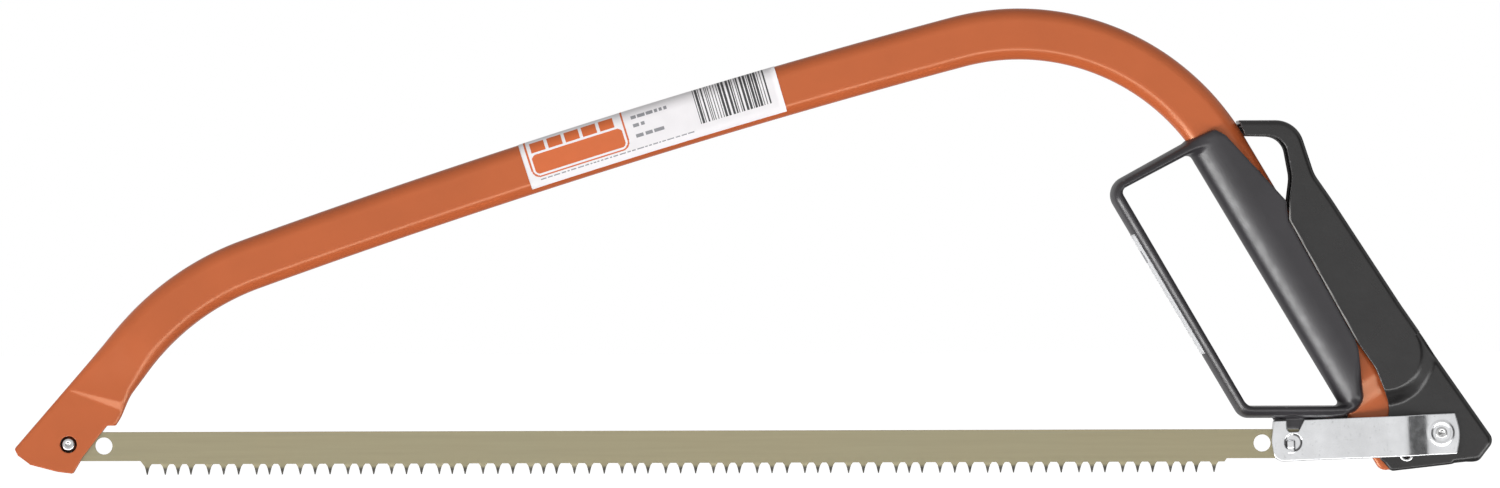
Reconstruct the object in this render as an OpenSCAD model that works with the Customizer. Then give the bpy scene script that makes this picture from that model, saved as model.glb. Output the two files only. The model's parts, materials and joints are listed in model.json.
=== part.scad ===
// Bow saw with an over-centre tension lever.
// Millimetres. X runs along the blade towards the handle, Z is up, Y = 0 is the blade's plane.
// Everything is drawn from the centre of the nose pin, then moved so that the origin is
// under the middle of the saw, at the height of its lowest point.

/* [Tube] */
// Tube depth in the plane of the bow
tube_d = 22.2; // [20:0.1:24]
// Tube width across the bow
tube_w = 11.5; // [11:0.1:12.5]
// Tube wall
tube_wall = 1.3; // [1:0.1:1.6]
// Heading of the nose part of the tube, degrees above the blade
nose_angle = 53.35; // [53:0.05:54]
// Radius of the nose bend
nose_bend_r = 114.5; // [110:0.5:118]
// Heading at the start of the bow, degrees
bow_start_angle = 19.8; // [19.5:0.1:20]
// Heading at the end of the bow, degrees
bow_end_angle = 14.8; // [14.5:0.1:15]
// Radius of the shallow bow
bow_r = 3687; // [3680:1:3695]
// Radius of the bend over the handle
handle_bend_r = 102.7; // [100:0.1:105]
// Heading of the handle part, degrees
handle_angle = -59.2; // [-59.6:0.1:-58.8]
// Straight length from the handle bend to the lever pivot
handle_straight = 154.7; // [154:0.1:156]
// Width of the flattened tail
tail_w = 27; // [26.5:0.1:27.5]
// Thickness of the flattened tail
tail_t = 4.8; // [4.4:0.1:4.8]
// Thickness of the flattened nose
nose_t = 3.6; // [3.4:0.1:4]

/* [Blade] */
// Thickness of the blade
blade_t = 0.8; // [0.6:0.1:0.9]
// Height of the blade's back edge above the pin
blade_top = 5.3; // [5:0.1:5.3]
// Depth of the plain lower edge below the pin
blade_bottom = 7.3; // [7:0.1:7.5]
// Depth of the gullets below the pin
gullet_z = 8.7; // [8.4:0.1:9]
// Depth of the tooth tips below the pin
tip_z = 13.3; // [13:0.1:13.6]
// Position of the first tooth
first_tooth_x = 34; // [33:0.1:35]
// Length of one pattern of six teeth
tooth_pattern = 39.66; // [39:0.01:40]
// Number of teeth
teeth = 71; // [60:1:71]
// Radius of the blade's round holes
hole_r = 3.7; // [3.5:0.1:3.7]
// Position of the front spare hole
spare_front_x = 15.2; // [15:0.1:16]
// Position of the rear spare hole
spare_rear_x = 517.8; // [516:0.1:518]

/* [Mechanism] */
// Radius of the nose pin
pin_r = 3.62; // [3.61:0.01:3.65]
// Clearance of running fits, on the radius
run_gap = 0.05; // [0.03:0.01:0.08]
// Radius of the lever pivot rivet
pivot_r = 2; // [1.8:0.1:2.2]
// Radius of the link rivet
link_r = 1.9; // [1.6:0.1:2]
// Sheet thickness of lever and straps
sheet = 1.5; // [1.4:0.1:1.6]
// Width of the straps
strap_w = 17.8; // [17:0.1:18]
// Clear half width inside the lever's grip part
lever_in = 8; // [7.9:0.1:8.2]
// Clear half width between the lever's lower plates
lever_low_in = 2.7; // [2.7:0.1:2.9]
// Opening angle of the lever
lever_open = 90; // [60:5:90]
// Tilt of the link for each degree of the lever
link_ratio = 0.22; // [0.22:0.01:0.22]
// Drop of the blade for each degree of the lever
blade_ratio = 0.005; // [0.005:0.001:0.005]

/* [Grip] */
// Half width of the grip
grip_half = 11; // [10.8:0.1:11.5]
// Wall of the grip's shell
grip_wall = 2.2; // [2:0.1:2.4]
// Distance of the grip's front edge from the tube's centre line
grip_front = 13.4; // [13.4:0.1:14]
// Half width of the knuckle guard's bars
guard_half = 9.5; // [9:0.1:10]

/* [Hidden] */
$fn = 64;

paint_orange = [0.76, 0.38, 0.22];
zinc = [0.80, 0.81, 0.82];
blade_steel = [0.60, 0.57, 0.46];
plastic_grey = [0.25, 0.25, 0.26];
lever_black = [0.17, 0.17, 0.17];
label_white = [0.92, 0.92, 0.90];

// Small clearances between parts that only lie against each other
skin = 0.02;
seat_gap = 0.1;
nothing = 0.02;
flare_reach = 0.3;
flare_step = 0.3;

function unit(v) = v / norm(v);
function along(a) = [cos(a), sin(a)];
function leftwards(a) = [-sin(a), cos(a)];
function clockwise(p, a) = [p.x * cos(a) + p.y * sin(a), p.y * cos(a) - p.x * sin(a)];
function xs(points) = [for (p = points) p.x];
function zs(points) = [for (p = points) p.y];

// The arc that rounds corner b between a and c with radius r
function corner(a, b, c, r) =
    let (u = unit(a - b), v = unit(c - b), half = acos(max(-1, min(1, u * v))) / 2)
    let (centre = b + unit(u + v) * r / sin(half), from = b + u * r / tan(half) - centre)
    let (to = b + v * r / tan(half) - centre)
    let (turn = atan2(from.x * to.y - from.y * to.x, from * to), steps = max(2, ceil(abs(turn) / 12)))
    [for (i = [0:steps]) centre + clockwise(from, -turn * i / steps)];

// A closed outline from corners [x, z, radius]
function rounded(c) =
    let (n = len(c), at = [for (p = c) [p.x, p.y]])
    [for (i = [0:n - 1])
        each (c[i][2] > 0 ? corner(at[(i + n - 1) % n], at[i], at[(i + 1) % n], c[i][2]) : [at[i]])];

// An open path from corners [x, z, radius], its two ends kept sharp
function path(c) =
    let (n = len(c), at = [for (p = c) [p.x, p.y]])
    [for (i = [0:n - 1])
        each ((i > 0 && i < n - 1 && c[i][2] > 0) ? corner(at[i - 1], at[i], at[i + 1], c[i][2]) : [at[i]])];

// The same path moved d to the right of its direction of travel
function offset_path(p, d) =
    let (n = len(p))
    [for (i = [0:n - 1])
        let (u = unit(p[min(i + 1, n - 1)] - p[max(i - 1, 0)])) p[i] + d * [u.y, -u.x]];

function backwards(p) = [for (i = [len(p) - 1:-1:0]) p[i]];

// Centre line of the tube
nose_start = [22.7, 34.1];
nose_straight = 5.6;
nose_bend_at = nose_start + nose_straight * along(nose_angle);
nose_bend_c = nose_bend_at - nose_bend_r * leftwards(nose_angle);
bow_at = nose_bend_c + nose_bend_r * leftwards(bow_start_angle);
bow_c = bow_at - bow_r * leftwards(bow_start_angle);
handle_bend_at = bow_c + bow_r * leftwards(bow_end_angle);
handle_bend_c = handle_bend_at - handle_bend_r * leftwards(bow_end_angle);
handle_at = handle_bend_c + handle_bend_r * leftwards(handle_angle);

// Pivots
pivot = handle_at + handle_straight * along(handle_angle);
link_pin = pivot + [15, 9.65];
hook = pivot + [-49.85, 4.8];

// Distances above the lever pivot, along the handle
tail_flat_end = 25.7;
tail_flare_end = 39.7;
tail_cut_at = [574, -12.2];
tail_cut_angle = 6.4;

// Outline of the flattened nose, up to the crease where the tube opens
nose_crease = [[26.2, 18.5], [-3, 24.5]];
nose_outline = rounded([[-23.6, -1.7, 1.2], [-20.4, -7.8, 2.5], [-4.8, -11.9, 20], [1.8, -12.7, 0.8],
                        [6, -5.6, 12], [16.6, 8.1, 1.2], [20.5, 8.1, 0.8], [24.6, 14.2, 5],
                        [nose_crease[0].x, nose_crease[0].y, 0], [nose_crease[1].x, nose_crease[1].y, 0]]);
nose_slot = [[-19.5, -1.7], [0.2, 23.8], [23.6, 19], [18.2, 9.2], [40, 8], [40, -20], [-16, -20]];
nose_slot_crease = [[23.6, 19], [0.2, 23.8]];
slot_t = 1;

// Lever, from the tip of its finger hook down its back, then up its front edge
joggle_top = [[566, 32], [587.6, 44.4]];
joggle_low = [[573, 14.5], [597.2, 30.6]];
grip_back = [[507.3, 139.2, 0.8], [532.3, 139.2, 12.5], [540, 115.8, 14], [547.3, 105.3, 14],
             [577.5, 58.9, 150], [joggle_top[1].x, joggle_top[1].y, 0]];
grip_front_edge = [[joggle_top[0].x, joggle_top[0].y, 0], [558.9, 42, 12], [528.9, 96.2, 3],
                   [528.9, 102.6, 3], [530.4, 114.5, 14], [527.1, 132.2, 8.5], [509.9, 132.6, 0.4]];
low_back = [[joggle_low[1].x, joggle_low[1].y, 0], [618.4, 0.2, 4.5], [611.6, -8.8, 4]];
low_front_edge = [[573.4, -13.1, 2], [567.6, -6.6, 5], [joggle_low[0].x, joggle_low[0].y, 0]];
lever_grip_outline = rounded(concat(grip_back, grip_front_edge));
lever_low_outline = rounded(concat(low_back, low_front_edge));

// Grip and knuckle guard
grip_outline = rounded([[484.7, 130, 1], [496.6, 135.4, 2.5], [501.5, 132.6, 3], [527.6, 104.2, 2],
                        [528.2, 96, 3], [558.2, 41.8, 14], [561.6, 18.4, 5], [558.2, 11.4, 4],
                        [547, 10.1, 0], [540, 20, 0], [480, 121, 0]]);
guard_outer = rounded([[448.9, 110.2, 8.3], [484.7, 130, 0], [500, 134, 0], [560, 20, 0],
                       [557.5, 11.4, 0], [546, 10.1, 0], [508, 10.1, 6.5]]);
guard_inner = rounded([[456.2, 109.1, 2.5], [503, 133.6, 0], [568, 15.3, 0], [510.9, 15.3, 5]]);
tongue_outline = rounded([[522.1, 11, 0], [524.3, 5.4, 1], [537.3, 5.4, 1], [539.2, 9.3, 1], [552, 9.9, 0],
                          [551.2, 12, 0]]);
tongue_t = 2;
rib_at = [56, 84, 112, 138];
rib_t = 2;
lip_half = 7.5;
lip_reach = 8.5;
hollow_top = 150;
hollow_low = 30;

// Labels
label_t = 0.12;
label_from = 126.4;
label_length = 115.7;
label_margin = 2.5;

// Straps, drawn in their own tilted frame with the hook at the origin
strap_tilt = 2.4;
strap_mid_z = 1.5;
strap_left = -7.8;
strap_right = 72.6;
strap_in = 1.3;
strap_raised_in = 7.3;
strap_pad_in = lever_low_in + sheet + seat_gap;
flat_end = 12.4;
raise_end = 44;
drop_start = 48.6;
drop_end = 58.4;
window_r = 3.8;
window_at = [1.1, 0.6];
notch = [[-1.3, 20], [-1.3, 6.6], [-0.4, 5.3], [3.6, 5.3], [6.9, 11.4], [6.9, 20]];
tab_w = 2.9;
tab_low = -1.5;
tab_high = 1.5;
rivet_head_r = 2.9;
rivet_head_t = 1.1;
link_head_r = 2.5;

// Travel of the hook in the blade's hole, seen from the blade
function link_point(p, t) =
    pivot + clockwise(link_pin - pivot, t) + clockwise(p - link_pin, link_ratio * t);
function on_blade(p, t) = clockwise(link_point(p, t), -blade_ratio * t);
tab_corners = [for (x = [-1, 1] * tab_w / 2, z = [tab_low, tab_high]) hook + clockwise([x, z], -strap_tilt)];
hook_travel = [for (t = [0:5:lever_open], p = tab_corners) on_blade(p, t)];
slot_gap = 0.15;
slot_low = [min(xs(hook_travel)), min(zs(hook_travel))] - [slot_gap, slot_gap];
slot_high = [max(xs(hook_travel)), max(zs(hook_travel))] + [slot_gap, slot_gap];
slot_outline = rounded([[slot_low.x, slot_low.y, 0.4], [slot_high.x, slot_low.y, 0.4],
                        [slot_high.x, slot_high.y, 0.4], [slot_low.x, slot_high.y, 0.4]]);

// Blade outline. The teeth come in threes: a close three, then an open three.
blade_front = -7;
blade_rear = 546;
spare_z = -0.73;
close_pitch = 5.6;
open_pitch = 6.45;
group_gap = 7.75;
tooth_steps = [0, group_gap, group_gap + close_pitch, group_gap + 2 * close_pitch,
               2 * group_gap + 2 * close_pitch, 2 * group_gap + 2 * close_pitch + open_pitch];
function tooth_x(i) = first_tooth_x + tooth_pattern * floor(i / 6) + tooth_steps[i % 6];
tooth_half = [[1.9, 0], [1.15, 0.22], [0.72, 0.5], [0.2, 1]];
function tooth(x) = concat([for (h = tooth_half) [x - h.x, -gullet_z - h.y * (tip_z - gullet_z)]],
                           [for (h = backwards(tooth_half)) [x + h.x, -gullet_z - h.y * (tip_z - gullet_z)]]);
teeth_outline = [for (i = [0:teeth - 1]) each tooth(tooth_x(i))];
last_tooth_x = tooth_x(teeth - 1);
blade_outline = concat([[blade_front, blade_top], [blade_front, -blade_bottom + 2],
                        [blade_front + 2, -blade_bottom], [first_tooth_x - 3, -blade_bottom]],
                       teeth_outline,
                       [[last_tooth_x + 4.5, -gullet_z], [last_tooth_x + 5.5, -blade_bottom],
                        [blade_rear - 2, -blade_bottom], [blade_rear, -blade_bottom + 2],
                        [blade_rear, blade_top]]);

// Frame of the finished saw
origin_x = (min(xs(nose_outline)) + max(xs(lever_low_outline))) / 2;
origin_z = -tip_z;

module place() {
    translate([-origin_x, 0, -origin_z])
        children();
}

// A flat shape in the plane of the saw, from y = a to y = b
module plate(a, b) {
    translate([0, b, 0])
        rotate([90, 0, 0])
            linear_extrude(height = b - a)
                children();
}

module slab(t) {
    plate(-t / 2, t / 2)
        children();
}

// A round bar along Y at point p
module bar(p, r, a, b) {
    translate([p.x, b, p.y])
        rotate([90, 0, 0])
            cylinder(r = r, h = b - a);
}

// A shape extruded along a heading from point p: its x points to the heading's right, its y across the saw
module heading(p, a) {
    translate([p.x, 0, p.y])
        rotate([0, 90 - a, 0])
            children();
}

module obround(d, w) {
    square([d - w, w], center = true);
    for (x = [-1, 1] * (d - w) / 2)
        translate([x, 0])
            circle(d = w, $fn = 48);
}

module straight(p, a, length, grow) {
    heading(p, a)
        linear_extrude(height = length)
            obround(tube_d + 2 * grow, tube_w + 2 * grow);
}

// A bend of the tube about centre c, from heading b back to heading a
module bend(c, r, a, b, fragments) {
    translate([c.x, 0, c.y])
        rotate([90, 0, 0])
            rotate([0, 0, 90 + b])
                rotate_extrude(angle = a - b, $fn = fragments)
                    translate([r, 0])
                        children();
}

// The bent part of the tube, grown or shrunk by grow. The bends are a hair wider than the
// stretches between them, and each stretch reaches a little way into its bends.
module tube_run(grow) {
    d = tube_d + 2 * grow;
    w = tube_w + 2 * grow;
    step = 0.06;
    reach = 0.2;
    reach_angle = reach / bow_r * 180 / PI;
    straight(nose_start, nose_angle, nose_straight + reach, grow);
    bend(nose_bend_c, nose_bend_r, nose_angle, bow_start_angle, 96)
        obround(d + step, w + step);
    bend(bow_c, bow_r, bow_start_angle + reach_angle, bow_end_angle - reach_angle, 720)
        obround(d, w);
    bend(handle_bend_c, handle_bend_r, bow_end_angle, handle_angle, 96)
        obround(d + step, w + step);
    straight(handle_at - reach * along(handle_angle), handle_angle,
             handle_straight - tail_flare_end + reach, grow);
}

// Flare from the flat nose to the round tube
module nose_flare(crease, t, grow) {
    hull() {
        slab(t)
            polygon([crease[0], crease[1], crease[1] - [0.2, 0.3], crease[0] - [0.2, 0.3]]);
        heading(nose_start, nose_angle)
            linear_extrude(height = flare_reach)
                obround(tube_d + 2 * grow - flare_step, tube_w + 2 * grow - flare_step, $fn = 32);
    }
}

// Flare from the round tube to the flat tail
module tail_flare(width, t, grow) {
    hull() {
        heading(pivot - tail_flare_end * along(handle_angle), handle_angle)
            translate([0, 0, -flare_reach])
                linear_extrude(height = flare_reach)
                    obround(tube_d + 2 * grow - flare_step, tube_w + 2 * grow - flare_step, $fn = 32);
        heading(pivot - tail_flat_end * along(handle_angle), handle_angle)
            linear_extrude(height = nothing)
                square([width, t], center = true);
    }
}

// Flat tail around the pivot, as an outline in the plane of the saw
module tail_shape(width, cut) {
    round_end = [for (a = [-90:6:90]) width / 2 * along(a)];
    difference() {
        translate(pivot)
            rotate(handle_angle)
                polygon(concat([[-tail_flat_end, width / 2], [-tail_flat_end, -width / 2]], round_end));
        translate(cut)
            rotate(tail_cut_angle)
                translate([-2 * width, -2 * width])
                    square([4 * width, 2 * width]);
    }
}

module frame_tube() {
    inner_t = 2 * tube_wall;
    bush_r = pivot_r + run_gap + 1.2;
    color(paint_orange)
        difference() {
            union() {
                slab(nose_t)
                    polygon(nose_outline);
                nose_flare(nose_crease, nose_t, 0);
                tube_run(0);
                tail_flare(tail_w, tail_t, 0);
                slab(tail_t)
                    tail_shape(tail_w, tail_cut_at);
            }
            slab(slot_t)
                polygon(nose_slot);
            nose_flare(nose_slot_crease, slot_t, -tube_wall);
            tube_run(-tube_wall);
            tail_flare(tail_w - inner_t, tail_t - inner_t, -tube_wall);
            slab(tail_t - inner_t)
                tail_shape(tail_w - inner_t, tail_cut_at - [0, 10]);
            bar([0, 0], pin_r + skin, -10, 10);
            bar(pivot, bush_r + skin, -10, 10);
        }
}

// Pin with a rolled rim and a punched centre at each end
module nose_pin() {
    end = nose_t / 2 + 0.5;
    rim_r = 2.75;
    dimple_r = 1.2;
    color(zinc)
        difference() {
            union() {
                bar([0, 0], pin_r, -nose_t / 2, nose_t / 2);
                bar([0, 0], rim_r, -end, end);
            }
            bar([0, 0], dimple_r, end - 0.5, end + 1);
            bar([0, 0], dimple_r, -end - 1, -end + 0.5);
        }
}

// Sleeve that keeps the flattened tail from being crushed by the pivot rivet
module pivot_bushing() {
    half = tail_t / 2 + seat_gap;
    color(zinc)
        difference() {
            bar(pivot, pivot_r + run_gap + 1.2, -half, half);
            bar(pivot, pivot_r + run_gap, -half - 1, half + 1);
        }
}

// Cross-section of the grip, rounded at the front
module grip_section(half, front) {
    depth = 30;
    translate([front - half, 0])
        circle(r = half);
    translate([front - half - depth, -half])
        square([depth, 2 * half]);
}

module grip_body(half, front) {
    intersection() {
        heading(handle_at - 30 * along(handle_angle), handle_angle)
            linear_extrude(height = 200)
                grip_section(half, front);
        slab(3 * half)
            polygon(grip_outline);
    }
}

module grip_ribs(half, reach) {
    front = grip_front - grip_wall / 2;
    for (s = rib_at)
        heading(pivot - s * along(handle_angle), handle_angle)
            translate([-reach, -half, -rib_t / 2])
                cube([front + reach, 2 * half, rib_t]);
}

// Grip shell that clips round the tube, in one moulding with the knuckle guard
module grip_guard() {
    hollow = grip_half - grip_wall;
    rib_half = grip_half - grip_wall / 2;
    color(plastic_grey)
        difference() {
            union() {
                difference() {
                    grip_body(grip_half, grip_front);
                    heading(pivot - hollow_top * along(handle_angle), handle_angle)
                        linear_extrude(height = hollow_top - hollow_low)
                            grip_section(hollow, grip_front - grip_wall);
                }
                intersection() {
                    grip_ribs(rib_half, 20);
                    grip_body(rib_half, grip_front - grip_wall / 2);
                }
                grip_ribs(lip_half, lip_reach);
                difference() {
                    slab(2 * guard_half)
                        difference() {
                            polygon(guard_outer);
                            polygon(guard_inner);
                        }
                    heading(handle_at - 40 * along(handle_angle), handle_angle)
                        translate([-60, -20, 0])
                            cube([60 + grip_front - grip_wall / 2, 40, 220]);
                }
                slab(tongue_t)
                    polygon(tongue_outline);
            }
            tube_run(seat_gap);
            tail_flare(tail_w + 2 * seat_gap, tail_t + 2 * seat_gap, seat_gap);
        }
}

// Paper label wrapped round the near side of the bow
module frame_label() {
    first = bow_start_angle - label_from / bow_r * 180 / PI;
    last = first - label_length / bow_r * 180 / PI;
    outer = 2 * (skin + label_t);
    color(label_white)
        bend(bow_c, bow_r, first, last, 1440)
            difference() {
                obround(tube_d + outer, tube_w + outer);
                obround(tube_d + 2 * skin, tube_w + 2 * skin);
                translate([-tube_d, -tube_d])
                    square([2 * tube_d, tube_d]);
                translate([-tube_d, -1])
                    square([tube_d / 2 + label_margin, tube_w]);
            }
}

// Sticker on the outer face of the knuckle guard's front bar
module guard_label() {
    half = 6;
    corner_top = [448.9, 110.2];
    down = unit([508, 10.1] - corner_top);
    out = [down.y, -down.x];
    start = corner_top + 24 * down + skin * out;
    end = start + 60 * down;
    color(label_white)
        slab(2 * half)
            polygon([start, start + label_t * out, end + label_t * out, end]);
}

// Thin cross-slice of the lever at one edge of its joggle
module joggle_slice(edge, half, inset) {
    u = unit(edge[1] - edge[0]);
    w = [u.y, -u.x];
    front = edge[0] - (inset > 0 ? 8 : 0) * u;
    back = edge[1] - inset * u;
    slab(2 * half)
        polygon([front, back, back + nothing * w, front + nothing * w]);
}

// Pressed channel: a finger hook and grip part, stepped in to two plates at the pivots
module tension_lever() {
    outer = lever_in + sheet;
    low_outer = lever_low_in + sheet;
    grip_inside = offset_path(path(grip_back), sheet);
    low_inside = offset_path(path(low_back), sheet);
    far = 60;
    color(lever_black)
        difference() {
            union() {
                slab(2 * outer)
                    polygon(lever_grip_outline);
                hull() {
                    joggle_slice(joggle_top, outer, 0);
                    joggle_slice(joggle_low, low_outer, 0);
                }
                slab(2 * low_outer)
                    polygon(lever_low_outline);
            }
            slab(2 * lever_in)
                polygon(concat([grip_inside[0] - [far, 0]], grip_inside,
                               [joggle_top[0], joggle_top[0] - [far, 0]]));
            hull() {
                joggle_slice(joggle_top, lever_in, sheet);
                joggle_slice(joggle_low, lever_low_in, sheet);
            }
            slab(2 * lever_low_in)
                polygon(concat(low_inside, [[600, -far], [500, -far], [500, joggle_low[0].y], joggle_low[0]]));
            bar(pivot, pivot_r + skin, -2 * outer, 2 * outer);
            bar(link_pin, link_r + run_gap, -2 * outer, 2 * outer);
        }
}

// Rivet with a head at each side, each with a punched centre
module rivet(p, r, head_r, grip, head_t, dimple_r) {
    end = grip + skin + head_t;
    difference() {
        union() {
            bar(p, r, -end, end);
            for (side = [-1, 1])
                bar(p, head_r, min(side * (grip + skin), side * end), max(side * (grip + skin), side * end));
        }
        bar(p, dimple_r, end - head_t / 2, end + 1);
        bar(p, dimple_r, -end - 1, head_t / 2 - end);
    }
}

module pivot_rivet() {
    color(zinc)
        rivet(pivot, pivot_r, rivet_head_r, lever_low_in + sheet, rivet_head_t, 1.6);
}

module link_rivet() {
    color(zinc)
        rivet(link_pin, link_r, link_head_r, strap_pad_in + sheet, rivet_head_t, 1);
}

module link_spacer() {
    half = lever_low_in - run_gap;
    color(zinc)
        difference() {
            bar(link_pin, 3, -half, half);
            bar(link_pin, link_r + skin, -half - 1, half + 1);
        }
}

// One strap on the far side of the saw, with a lanced tab that hooks into the blade
module strap() {
    low = strap_mid_z - strap_w / 2;
    high = strap_mid_z + strap_w / 2;
    inner = [[strap_left - 2, strap_in], [flat_end, strap_in], [raise_end, strap_raised_in],
             [drop_start, strap_raised_in], [drop_end, strap_pad_in], [strap_right + 2, strap_pad_in]];
    outer = [for (p = inner) p + [0, sheet]];
    outline = rounded([[strap_left + 0.9, high, 0.8], [strap_left - 0.5, strap_mid_z + 0.5, 12],
                       [strap_left + 0.6, low, 4.5], [strap_right - 1.2, low, 0.8],
                       [strap_right + 1, strap_mid_z, 20], [strap_right - 1.2, high, 0.8]]);
    color(zinc)
        difference() {
            translate([hook.x, 0, hook.y])
                rotate([0, -strap_tilt, 0])
                    union() {
                        intersection() {
                            translate([0, 0, low - 1])
                                linear_extrude(height = strap_w + 2)
                                    polygon(concat(inner, backwards(outer)));
                            plate(0, 20)
                                difference() {
                                    polygon(outline);
                                    polygon(notch);
                                    translate(window_at)
                                        circle(r = window_r);
                                }
                        }
                        translate([-tab_w / 2, strap_in, window_at.y - window_r - 0.4])
                            cube([tab_w, sheet, tab_high - window_at.y + window_r + 0.4]);
                        translate([-tab_w / 2, seat_gap / 2, tab_low])
                            cube([tab_w, strap_in + sheet - seat_gap / 2, tab_high - tab_low]);
                    }
            bar(link_pin, link_r + skin, 0, 20);
        }
}

module link_strap_rear() {
    strap();
}

module link_strap_front() {
    mirror([0, 1, 0])
        strap();
}

module blade() {
    color(blade_steel)
        slab(blade_t)
            difference() {
                polygon(blade_outline);
                circle(r = hole_r);
                translate([spare_front_x, spare_z])
                    circle(r = hole_r);
                translate([spare_rear_x, spare_z])
                    circle(r = hole_r);
                polygon(slot_outline);
            }
}

place() frame_tube();
place() nose_pin();
place() pivot_bushing();
place() grip_guard();
place() frame_label();
place() guard_label();
place() tension_lever();
place() pivot_rivet();
place() link_strap_front();
place() link_strap_rear();
place() link_rivet();
place() link_spacer();
place() blade();
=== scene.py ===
"""The looks of a bow saw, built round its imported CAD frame.

Shapes are drawn in millimetres from the centre of the nose pin, with X towards the handle and Z up,
and place() puts them in the row frame. Most pieces are thin pressed or moulded shapes with rounded
edges, so they are written as signed distance fields, negative inside, and meshed by surface_net().
"""

import json
import math
import random

import bpy
import numpy as np
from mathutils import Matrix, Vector


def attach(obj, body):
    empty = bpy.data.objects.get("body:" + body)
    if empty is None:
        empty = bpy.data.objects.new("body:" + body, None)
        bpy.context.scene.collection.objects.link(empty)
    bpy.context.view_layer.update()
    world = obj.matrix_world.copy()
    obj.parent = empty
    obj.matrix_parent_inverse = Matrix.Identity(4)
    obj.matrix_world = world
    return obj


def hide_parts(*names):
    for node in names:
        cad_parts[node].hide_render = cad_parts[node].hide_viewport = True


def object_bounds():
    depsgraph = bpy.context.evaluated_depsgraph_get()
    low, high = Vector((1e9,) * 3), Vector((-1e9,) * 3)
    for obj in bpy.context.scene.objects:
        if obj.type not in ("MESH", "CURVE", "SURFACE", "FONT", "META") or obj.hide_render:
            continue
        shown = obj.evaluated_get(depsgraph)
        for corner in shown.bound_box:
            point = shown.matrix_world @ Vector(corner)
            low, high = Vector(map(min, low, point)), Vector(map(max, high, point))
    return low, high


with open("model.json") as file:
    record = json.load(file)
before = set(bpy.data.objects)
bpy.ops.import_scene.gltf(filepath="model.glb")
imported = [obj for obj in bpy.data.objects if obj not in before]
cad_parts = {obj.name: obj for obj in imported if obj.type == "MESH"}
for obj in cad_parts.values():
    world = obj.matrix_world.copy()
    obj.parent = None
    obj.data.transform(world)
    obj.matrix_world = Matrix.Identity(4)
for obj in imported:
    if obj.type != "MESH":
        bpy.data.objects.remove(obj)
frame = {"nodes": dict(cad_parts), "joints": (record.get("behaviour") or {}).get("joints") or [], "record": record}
cad_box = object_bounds()
MM = 0.001

# ------------------------------------------------------------ places taken from the frame

JOINTS = {joint["name"]: joint for joint in frame["joints"]}
NOSE = np.array(JOINTS["blade_swing"]["pos_m"], float)


def from_nose(position):
    """X and Z of a place in the row frame, in millimetres from the nose pin."""
    offset = (np.array(position, float) - NOSE) / MM
    return np.array([offset[0], offset[2]])


def place(x, y, z):
    """Points of the row frame, in metres, from places in millimetres from the nose pin."""
    return np.stack(np.broadcast_arrays(x, y, z), -1) * MM + NOSE


PIVOT = from_nose(JOINTS["lever_swing"]["pos_m"])
LINK = from_nose(JOINTS["link_pivot"]["pos_m"])
HOOK = PIVOT + (-49.85, 4.8)

# ------------------------------------------------------------ driving sizes, in millimetres

TUBE_HALF = 11.1
TUBE_HALF_T = 5.75
TUBE_WALL = 1.3
NOSE_HALF_T = 1.8
TAIL_HALF = 13.5
TAIL_HALF_T = 2.4
SHEET = 1.5
LEVER_HALF = 9.5
LEVER_LOW_HALF = 4.2
BLADE_HALF_T = 0.4
GRIP_HALF = 11
GRIP_WALL = 2.2
GRIP_FRONT = 13.4
GUARD_HALF = 9.5
GUARD_DOME = 2.3

# ------------------------------------------------------------ small maths

# What a cut's field is where the cut does not apply
NO_CUT = -50


def heading(angle):
    return np.array([math.cos(math.radians(angle)), math.sin(math.radians(angle))])


def smooth(x):
    x = np.clip(x, 0, 1)
    return x * x * (3 - 2 * x)


def carve(a, b, r):
    """What is inside both fields, with the shared edge rounded to radius r."""
    return np.minimum(np.maximum(a, b), -r) + np.hypot(np.maximum(a + r, 0), np.maximum(b + r, 0))


def join(a, b, r):
    """What is inside either field, with a fillet of radius r between them."""
    return np.maximum(np.minimum(a, b), r) - np.hypot(np.maximum(r - a, 0), np.maximum(r - b, 0))


def rounded(corners, step=6):
    """A closed outline from corners (x, z, radius)."""
    points = []
    count = len(corners)
    for i, (x, z, r) in enumerate(corners):
        b = np.array([x, z], float)
        if r == 0:
            points.append(b)
            continue
        u = np.array(corners[i - 1][:2], float) - b
        v = np.array(corners[(i + 1) % count][:2], float) - b
        u /= np.linalg.norm(u)
        v /= np.linalg.norm(v)
        half = math.acos(max(-1, min(1, float(u @ v)))) / 2
        centre = b + (u + v) / np.linalg.norm(u + v) * r / math.sin(half)
        start = b + u * r / math.tan(half) - centre
        end = b + v * r / math.tan(half) - centre
        turn = math.atan2(start[0] * end[1] - start[1] * end[0], start @ end)
        steps = max(3, math.ceil(abs(math.degrees(turn)) / step))
        for k in range(steps + 1):
            c, s = math.cos(turn * k / steps), math.sin(turn * k / steps)
            points.append(centre + (start[0] * c - start[1] * s, start[0] * s + start[1] * c))
    return np.array(points)


def outline_field(outline, x, z):
    """Signed distance to a closed outline in the plane of the saw."""
    best = np.full(np.broadcast(x, z).shape, 1e12)
    inside = np.zeros(best.shape, bool)
    for (x0, z0), (x1, z1) in zip(outline, np.roll(outline, -1, axis=0)):
        dx, dz = x1 - x0, z1 - z0
        share = np.clip(((x - x0) * dx + (z - z0) * dz) / (dx * dx + dz * dz + 1e-12), 0, 1)
        best = np.minimum(best, (x - x0 - share * dx) ** 2 + (z - z0 - share * dz) ** 2)
        crossed = (z0 > z) != (z1 > z)
        inside ^= crossed & (x < x0 + (z - z0) * dx / (dz if dz else 1e-12))
    return np.where(inside, -1, 1) * np.sqrt(best)


# ------------------------------------------------------------ meshes


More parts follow.
